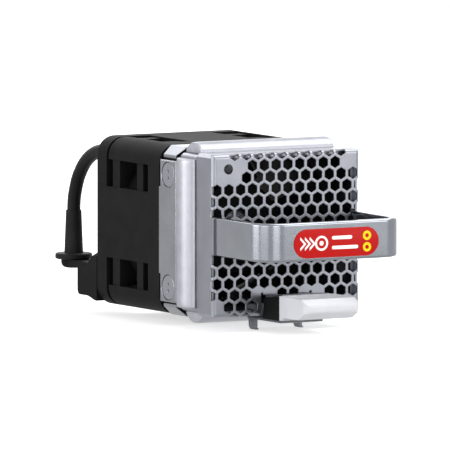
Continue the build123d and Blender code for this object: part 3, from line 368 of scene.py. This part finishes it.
def dress():
    """Give every carried-over piece the finish of its real material."""
    zinc = zinc_plated_steel()
    nickel = nickel_plated_steel()
    black = moulded_black_plastic()
    rubber = black_rubber()
    spring = tempered_spring_steel()
    screw = turned_screw_steel()
    finishes = {
        "front_cover": zinc, "inner_tray": zinc, "band_top": zinc, "band_bottom": zinc,
        "side_plate_left": nickel, "side_plate_right": nickel, "side_screws": screw,
        "adapter_frame": black, "fan_frame": black, "impeller": black, "rear_cover": black,
        "connector_housing": black, "latch_block": black,
        "rear_screws": black_oxide_steel(), "motor_board": circuit_board(),
        "stator_core": laminated_core(), "stator_coils": enamelled_copper(),
        "bearing_front": screw, "bearing_rear": screw, "shaft": screw, "shaft_clip": spring,
        "magnet_ring": bonded_magnet(), "rotor_yoke": nickel,
        "connector_contacts": contact_brass(), "cable_grommet": rubber, "cable_boot": rubber,
        "handle": polished_handle(), "latch_spring": spring, "leaf_root": spring,
        "latch_rivets": screw, "release_button": white_button_plastic(),
        "status_light": smoked_lens(), "light_holder": grey_plastic(),
    }
    for name, finish in finishes.items():
        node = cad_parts[name]
        node.data.materials.clear()
        node.data.materials.append(finish)


# Helpers for modelling

weld_distance = 1e-6
smooth_angle = radians(38)


def select_only(obj):
    bpy.ops.object.select_all(action="DESELECT")
    obj.select_set(True)
    bpy.context.view_layer.objects.active = obj


def enter_edit(obj, mode="FACE"):
    """Go into edit mode with nothing selected."""
    select_only(obj)
    bpy.ops.object.mode_set(mode="EDIT")
    bpy.ops.mesh.select_mode(type=mode)
    bpy.ops.mesh.select_all(action="DESELECT")


def pick_corners(obj, test):
    """Select, in edit mode, the vertices that pass a test on their place."""
    mesh = bmesh.from_edit_mesh(obj.data)
    bpy.ops.mesh.select_all(action="DESELECT")
    for vertex in mesh.verts:
        vertex.select_set(test(vertex.co))
    mesh.select_flush_mode()
    bmesh.update_edit_mesh(obj.data)


def leave_edit():
    """Weld what touches, turn all faces outwards and go back to object mode."""
    bpy.ops.mesh.select_mode(type="VERT")
    bpy.ops.mesh.select_all(action="SELECT")
    bpy.ops.mesh.remove_doubles(threshold=weld_distance)
    bpy.ops.mesh.normals_make_consistent(inside=False)
    bpy.ops.object.mode_set(mode="OBJECT")


def apply_place(obj):
    select_only(obj)
    bpy.ops.object.transform_apply(location=True, rotation=True, scale=True)


def round_edges(obj, width, angle):
    """Round, in two steps, the edges where faces meet at more than an angle in degrees."""
    select_only(obj)
    bevel = obj.modifiers.new("soft_edges", "BEVEL")
    bevel.width = width
    bevel.segments = 2
    bevel.limit_method = "ANGLE"
    bevel.angle_limit = radians(angle)
    bpy.ops.object.modifier_apply(modifier=bevel.name)


def finish_piece(obj, name, material, body):
    """Name a modelled piece, give it its finish and fix it to its body."""
    obj.name = name
    obj.data.name = name
    obj.data.materials.clear()
    obj.data.materials.append(material)
    select_only(obj)
    bpy.ops.object.shade_smooth_by_angle(angle=smooth_angle)
    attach(obj, body)


# Shielding gaskets

foot_side = 0.5 * MM
gasket_cells_along = 72
gasket_cells_across = 22
gasket_edge_radius = 0.18 * MM
dome_power = 2.15
front_fullness = 0.62
rear_fullness = 0.98
end_length = 1.2 * MM
end_dip = 0.05
ripple_depth = 0.012
ripple_along = 4 * MM
ripple_across = 1.3


def gasket_height_at(across, along, half_width, half_length, crest):
    """Height of the tight cloth over the foam: full in front, falling away behind, low at the ends."""
    share = across / half_width
    fullness = front_fullness if share < 0 else rear_fullness
    dome = (1 - abs(share) ** dome_power) ** fullness if abs(share) < 1 else 0
    end = min(1, (half_length - abs(along)) / end_length)
    dip = 1 - end_dip * (1 - end) ** 2
    spot = Vector((along / ripple_along, share * ripple_across, crest / MM))
    ripple = 1 - ripple_depth * (1 + noise.noise(spot))
    return foot_side + (crest - foot_side) * dome * dip * ripple


def gasket(name, cloth):
    """One gasket, shaped lying flat along X and then turned on to its side of the tray."""
    low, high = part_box(name)
    extent = high - low
    upright = extent.z > extent.x
    half_length = (extent.z if upright else extent.x) / 2
    half_width = extent.y / 2
    crest = extent.x if upright else extent.z
    centre = (low + high) / 2
    outward = 1 if (centre.x if upright else centre.z - tray_middle.z) > 0 else -1
    bpy.ops.mesh.primitive_grid_add(
        x_subdivisions=gasket_cells_along, y_subdivisions=gasket_cells_across, size=2, location=(0, 0, 0),
    )
    piece = bpy.context.object
    enter_edit(piece)
    bpy.ops.mesh.select_all(action="SELECT")
    bpy.ops.transform.resize(value=(half_length, half_width, 1))
    mesh = bmesh.from_edit_mesh(piece.data)
    for vertex in mesh.verts:
        vertex.co.z = gasket_height_at(vertex.co.y, vertex.co.x, half_width, half_length, crest)
    bmesh.update_edit_mesh(piece.data)
    # Walls down to the foot, and the flat back that is glued to the tray
    bpy.ops.mesh.select_all(action="SELECT")
    bpy.ops.mesh.region_to_loop()
    bpy.ops.mesh.extrude_edges_move()
    mesh = bmesh.from_edit_mesh(piece.data)
    for vertex in mesh.verts:
        if vertex.select:
            vertex.co.z = 0
    bmesh.update_edit_mesh(piece.data)
    bpy.ops.mesh.edge_face_add()
    leave_edit()
    if upright:
        piece.rotation_euler = (0, outward * pi / 2, 0)
        piece.location = (centre.x - outward * crest / 2, centre.y, centre.z)
    else:
        piece.rotation_euler = (0, 0 if outward > 0 else pi, 0)
        piece.location = (centre.x, centre.y, centre.z - outward * crest / 2)
    apply_place(piece)
    round_edges(piece, gasket_edge_radius, angle=50)
    finish_piece(piece, name + "_cloth", cloth, "tray")
    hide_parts(name)


def make_gaskets():
    cloth = gasket_cloth()
    for name in ("gasket_left", "gasket_right", "gasket_top", "gasket_bottom"):
        gasket(name, cloth)


# Lead from the rear cover down into its strain relief

lead_diameter = 3.2 * MM
lead_route_mm = [
    (-15.7, 26.275, 38.85),
    (-15.7, 33.475, 38.8),
    (-15.7, 40.375, 36.25),
    (-15.7, 44.775, 31.85),
    (-15.7, 46.575, 27.65),
    (-15.7, 47.225, 24.85),
    (-15.7, 47.225, 20.65),
]


def make_lead():
    """A round lead that follows its route as one smooth curve."""
    curve = bpy.data.curves.new("power_lead", "CURVE")
    curve.dimensions = "3D"
    curve.bevel_depth = lead_diameter / 2
    curve.bevel_resolution = 8
    curve.resolution_u = 24
    curve.use_fill_caps = True
    spline = curve.splines.new("NURBS")
    spline.points.add(len(lead_route_mm) - 1)
    for point, place in zip(spline.points, lead_route_mm):
        point.co = (*(MM * value for value in place), 1)
    spline.order_u = 3
    spline.use_endpoint_u = True
    lead = bpy.data.objects.new("power_lead", curve)
    bpy.context.collection.objects.link(lead)
    curve.materials.append(lead_jacket())
    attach(lead, "tray")
    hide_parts("cable")


# Label on the handle, with plain marks. Places along X are from the middle of the tray.

label_left = -11.0 * MM
label_right = 11.8 * MM
label_height = 6.8 * MM
label_drop = 0.4 * MM
film = 0.12 * MM
film_edge_radius = 0.05 * MM
ink = 0.04 * MM
chevron_start = -9.3 * MM
chevron_step = 1.25 * MM
chevron_radius = 1.6 * MM
chevron_width = 0.45 * MM
chevron_trim = 0.2 * MM
circle_x = -3.6 * MM
circle_radius = 1.75 * MM
circle_width = 0.5 * MM
hub_radius = 0.55 * MM
bar_start = -0.4 * MM
bar_radius = 0.42 * MM
bar_rise = 1.15 * MM
upper_bar_length = 4.6 * MM
lower_bar_length = 6.2 * MM
dot_x = 8.6 * MM
dot_rise = 1.35 * MM
dot_radius = 1.1 * MM
dot_width = 0.6 * MM
flat_share = 0.9


def flat_disc(radius, depth, place, vertices):
    """A disc that faces the front, with its back on the plane y = place.y."""
    bpy.ops.mesh.primitive_cylinder_add(
        vertices=vertices, radius=radius, depth=depth,
        location=(place.x, place.y - depth / 2, place.z), rotation=(pi / 2, 0, 0),
    )
    piece = bpy.context.object
    apply_place(piece)
    return piece


def ring(place, outer, width, depth, vertices=48):
    """A flat ring, made from a disc whose front and back are inset and opened."""
    piece = flat_disc(outer, depth, place, vertices)
    enter_edit(piece)
    mesh = bmesh.from_edit_mesh(piece.data)
    for face in mesh.faces:
        looks_along_y = abs(face.normal.y) > flat_share
        face.select_set(looks_along_y)
    bmesh.update_edit_mesh(piece.data)
    bpy.ops.mesh.inset(thickness=width)
    bpy.ops.mesh.bridge_edge_loops()
    leave_edit()
    return piece


def chevron(place, depth):
    """A plain arrowhead: the right half of a square ring that stands on its corner."""
    piece = ring(place, chevron_radius, chevron_width, depth, vertices=4)
    enter_edit(piece, "VERT")
    pick_corners(piece, lambda corner: corner.x < place.x - chevron_trim)
    bpy.ops.mesh.delete(type="VERT")
    bpy.ops.mesh.select_all(action="SELECT")
    bpy.ops.mesh.fill_holes(sides=4)
    leave_edit()
    return piece


def stretch_right(obj, centre_x, length):
    """Pull the right half of a disc away, so that it becomes a strip with round ends."""
    enter_edit(obj, "VERT")
    pick_corners(obj, lambda corner: corner.x > centre_x)
    bpy.ops.transform.translate(value=(length, 0, 0))
    leave_edit()


def join(pieces):
    select_only(pieces[0])
    for piece in pieces[1:]:
        piece.select_set(True)
    bpy.ops.object.join()
    return bpy.context.object


def make_label():
    """Red film with round ends on the front of the handle, and raised ink on it."""
    handle_low, handle_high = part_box("handle")
    front = handle_low.y
    height = (handle_low.z + handle_high.z) / 2 - label_drop
    radius = label_height / 2
    left_end = label_left + radius
    sticker = flat_disc(radius, film, Vector((left_end, front, height)), vertices=64)
    stretch_right(sticker, left_end, label_right - label_left - label_height)
    round_edges(sticker, film_edge_radius, angle=35)
    finish_piece(sticker, "handle_label", printed_film("red_label_film", "#ab1311", "#b31614"), "tray")

    white = printed_film("white_label_ink", "#e9e9e6", "#f2f2f0")
    yellow = printed_film("yellow_label_ink", "#e8c812", "#f2d21e")

    def on_film(x, rise=0):
        return Vector((x, front - film, height + rise))

    # Three chevrons for the way the air blows, a plain ring round a dot, and two plain bars
    marks = [chevron(on_film(chevron_start + step * chevron_step), ink) for step in range(3)]
    marks.append(ring(on_film(circle_x), circle_radius, circle_width, ink))
    marks.append(flat_disc(hub_radius, ink, on_film(circle_x), vertices=32))
    for rise, length in ((bar_rise, upper_bar_length), (-bar_rise, lower_bar_length)):
        bar = flat_disc(bar_radius, ink, on_film(bar_start, rise), vertices=24)
        stretch_right(bar, bar_start, length)
        marks.append(bar)
    finish_piece(join(marks), "label_white_marks", white, "tray")

    dots = [ring(on_film(dot_x, rise), dot_radius, dot_width, ink) for rise in (dot_rise, -dot_rise)]
    finish_piece(join(dots), "label_yellow_marks", yellow, "tray")


# Camera, light and floor

view_azimuth = radians(-29.39)
view_elevation = radians(4.99)
view_distance = 4.414
view_target = Vector((-2.449, -2.425, 22.83)) * MM
view_lens_mm = 1500
sensor_width_mm = 36
nearest_seen = 0.1
farthest_seen = 30
world_light = 0.4
paper_white = 0.8
paper_glow = 0.6
floor_size = 12
floor_drop = 0.2 * MM


def make_camera():
    """Long lens from the left of the front, a little above the tray."""
    back = Vector((
        sin(view_azimuth) * cos(view_elevation),
        -cos(view_azimuth) * cos(view_elevation),
        sin(view_elevation),
    ))
    lens = bpy.data.cameras.new("camera")
    lens.lens = view_lens_mm
    lens.sensor_width = sensor_width_mm
    lens.clip_start = nearest_seen
    lens.clip_end = farthest_seen
    camera = bpy.data.objects.new("camera", lens)
    camera.location = view_target + back * view_distance
    camera.rotation_euler = back.to_track_quat("Z", "Y").to_euler()
    bpy.context.collection.objects.link(camera)
    bpy.context.scene.camera = camera


def softbox(name, place, width, height, watts):
    """A white rectangular light that faces the middle of the tray."""
    lamp = bpy.data.lights.new(name, "AREA")
    lamp.shape = "RECTANGLE"
    lamp.size = width
    lamp.size_y = height
    lamp.energy = watts
    light = bpy.data.objects.new(name, lamp)
    light.location = place
    towards = Vector(place) - tray_middle
    light.rotation_euler = towards.to_track_quat("Z", "Y").to_euler()
    bpy.context.collection.objects.link(light)


def make_lights():
    """Soft light from above, strips that streak the metal from left and front, and two behind."""
    softbox("overhead", (0.32, -0.05, 0.66), width=0.6, height=0.6, watts=4.6)
    softbox("front_right", (0.42, -0.62, 0.14), width=0.4, height=0.5, watts=2.1)
    softbox("left_strip", (-0.31, 0.07, 0.08), width=0.20, height=0.16, watts=0.46)
    softbox("left_fill", (-0.32, -0.17, 0.08), width=0.22, height=0.16, watts=0.26)
    softbox("front_strip", (-0.08, -0.36, 0.08), width=0.17, height=0.16, watts=0.32)
    softbox("rear_rim", (0.30, 0.53, 0.14), width=0.5, height=0.2, watts=0.5)
    softbox("rear_high", (0.04, 0.60, 0.38), width=0.5, height=0.3, watts=1.15)


def make_background():
    """White to the camera and in reflections, and a softer white for the light it gives."""
    world = bpy.data.worlds.new("studio")
    bpy.context.scene.world = world
    world.use_nodes = True
    tree = world.node_tree
    tree.nodes.clear()
    path = add_node(tree, "ShaderNodeLightPath").outputs
    seen = combine(tree, "MAXIMUM", path["Is Camera Ray"], path["Is Glossy Ray"])
    seen = combine(tree, "MAXIMUM", seen, path["Is Transmission Ray"])
    strength = add_node(
        tree, "ShaderNodeMapRange", {"Value": seen, "To Min": world_light, "To Max": 1},
    )
    white = add_node(
        tree, "ShaderNodeBackground", {"Color": (1, 1, 1, 1), "Strength": strength.outputs["Result"]},
    )
    add_node(tree, "ShaderNodeOutputWorld", {"Surface": white.outputs["Background"]})


def make_floor():
    """White paper that glows to the camera, keeps the shadow, and is plain white in reflections."""
    bpy.ops.mesh.primitive_plane_add(size=floor_size, location=(0, 0, -floor_drop))
    floor = bpy.context.object
    floor.name = "studio_floor"
    apply_place(floor)
    material = bpy.data.materials.new("white_paper")
    material.use_nodes = True
    tree = material.node_tree
    tree.nodes.clear()
    paper = add_node(
        tree, "ShaderNodeBsdfDiffuse", {"Color": (paper_white, paper_white, paper_white, 1)},
    ).outputs["BSDF"]
    glow = add_node(
        tree, "ShaderNodeEmission", {"Color": (1, 1, 1, 1), "Strength": paper_glow},
    ).outputs["Emission"]
    white = add_node(
        tree, "ShaderNodeEmission", {"Color": (1, 1, 1, 1), "Strength": 1},
    ).outputs["Emission"]
    glowing = add_node(tree, "ShaderNodeAddShader", {0: paper, 1: glow}).outputs["Shader"]
    path = add_node(tree, "ShaderNodeLightPath").outputs
    direct = add_node(tree, "ShaderNodeMixShader", {0: path["Is Camera Ray"], 1: paper, 2: glowing})
    mirrored = combine(tree, "MAXIMUM", path["Is Glossy Ray"], path["Is Transmission Ray"])
    choice = add_node(
        tree, "ShaderNodeMixShader", {0: mirrored, 1: direct.outputs["Shader"], 2: white},
    )
    add_node(tree, "ShaderNodeOutputMaterial", {"Surface": choice.outputs["Shader"]})
    floor.data.materials.append(material)


bpy.context.scene.view_settings.view_transform = "Standard"
make_camera()
make_lead()
make_gaskets()
make_label()
dress()
make_lights()
make_background()
make_floor()
